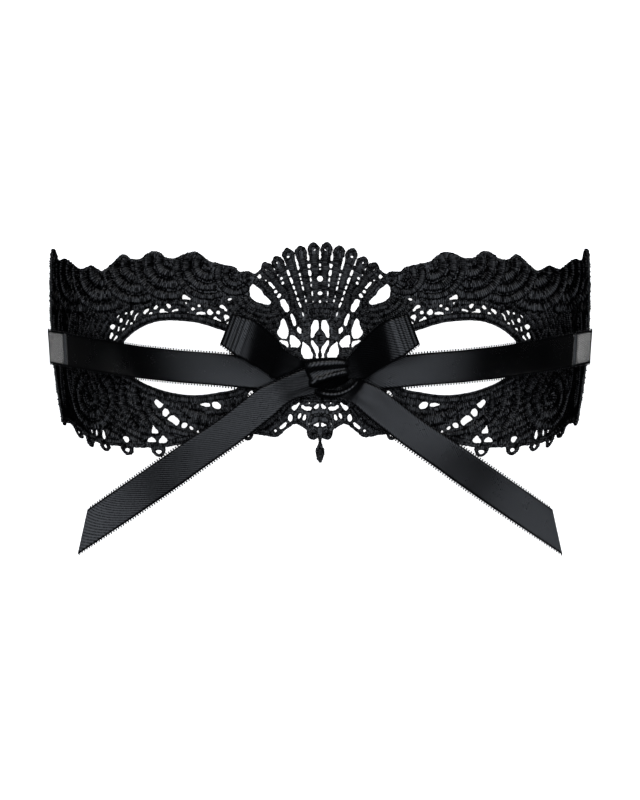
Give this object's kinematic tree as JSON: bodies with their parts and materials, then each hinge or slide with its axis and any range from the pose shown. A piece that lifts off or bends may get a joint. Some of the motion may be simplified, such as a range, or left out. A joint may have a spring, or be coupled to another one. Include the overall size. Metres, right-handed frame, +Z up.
{
  "type": "lace eye mask",
  "caption": "Black guipure lace eye mask with a fan at the brow, scalloped edges and satin ribbons tied in a bow behind.",
  "frame": {"origin": "on the ground plane that the flat middle of the lace lies on, under the centre of the whole part's outline in plan", "axes": "+X along the mask, +Y to its upper edge with the fan, +Z up, away from the face of the lace that lies on the ground"},
  "size_m": [0.1658, 0.0969, 0.0446],
  "materials": {
    "lace": "black embroidered guipure lace, matt with satin-stitch sheen",
    "ribbon": "black double-faced satin with a dotted picot selvedge"
  },
  "bodies": {
    "root": {"lace": "lace", "ribbon_left": "ribbon", "ribbon_right": "ribbon"}
  },
  "joints": []
}
